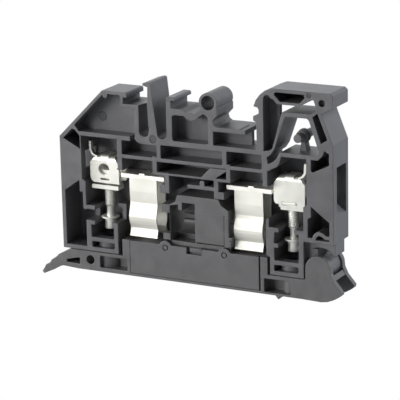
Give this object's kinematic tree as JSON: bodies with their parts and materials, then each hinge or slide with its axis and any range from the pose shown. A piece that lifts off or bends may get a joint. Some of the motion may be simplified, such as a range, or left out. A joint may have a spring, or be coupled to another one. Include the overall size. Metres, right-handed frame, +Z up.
{
  "type": "disconnect terminal block",
  "caption": "Open-sided fuse terminal block that clips on a 35 mm rail, with a hinged lever that lifts the fuse carrier out between two spring clips, and screw clamps for the wires at both ends",
  "frame": {"origin": "the middle of the rail seat: rail centre, middle of the thickness, height of the rail lips; the part is built foot up, as the picture shows it", "axes": "+X across the rail, along the wires, from the pull tab towards the lever hinge; +Y along the rail, from the open face to the closed face; +Z up, from the lever towards the rail foot"},
  "size_m": [0.0795, 0.0082, 0.0511],
  "materials": {
    "housing_plastic": "fine moulded grain, dark grey polyamide",
    "lever_plastic": "fine moulded grain, dark grey polyamide",
    "contact_metal": "bright tin-plated copper sheet",
    "clamp_steel": "zinc-plated steel"
  },
  "bodies": {
    "housing_body": {"housing": "housing_plastic", "busbar_left": "contact_metal", "busbar_right": "contact_metal", "fuse_clip_left": "contact_metal", "fuse_clip_right": "contact_metal"},
    "lever_body": {"lever": "lever_plastic", "fuse_carrier": "lever_plastic", "carrier_cover": "lever_plastic"},
    "clamp_left_body": {"clamp_left": "clamp_steel"},
    "clamp_right_body": {"clamp_right": "clamp_steel"},
    "screw_left_body": {"screw_left": "clamp_steel"},
    "screw_right_body": {"screw_right": "clamp_steel"}
  },
  "joints": [
    {"name": "lever_hinge", "type": "hinge", "parent": "housing_body", "child": "lever_body", "pos_m": [0.032, 0, -0.0354], "axis": [0, -1, 0], "range_deg": [0, 92]},
    {"name": "clamp_left_slide", "type": "slide", "parent": "housing_body", "child": "clamp_left_body", "axis": [0, 0, -1], "range_m": [0, 0.0025]},
    {"name": "screw_left_turn", "type": "hinge", "parent": "housing_body", "child": "screw_left_body", "pos_m": [-0.0242, 0, -0.03], "axis": [0, 0, 1], "range_deg": [0, 1805]},
    {"name": "clamp_right_slide", "type": "slide", "parent": "housing_body", "child": "clamp_right_body", "axis": [0, 0, -1], "range_m": [0, 0.0025]},
    {"name": "screw_right_turn", "type": "hinge", "parent": "housing_body", "child": "screw_right_body", "pos_m": [0.0242, 0, -0.03], "axis": [0, 0, 1], "range_deg": [0, 1805]}
  ],
  "couplings": [
    {"joint": "screw_left_turn", "follows": "clamp_left_slide", "rad_per_m": 12566},
    {"joint": "screw_right_turn", "follows": "clamp_right_slide", "rad_per_m": 12566}
  ]
}
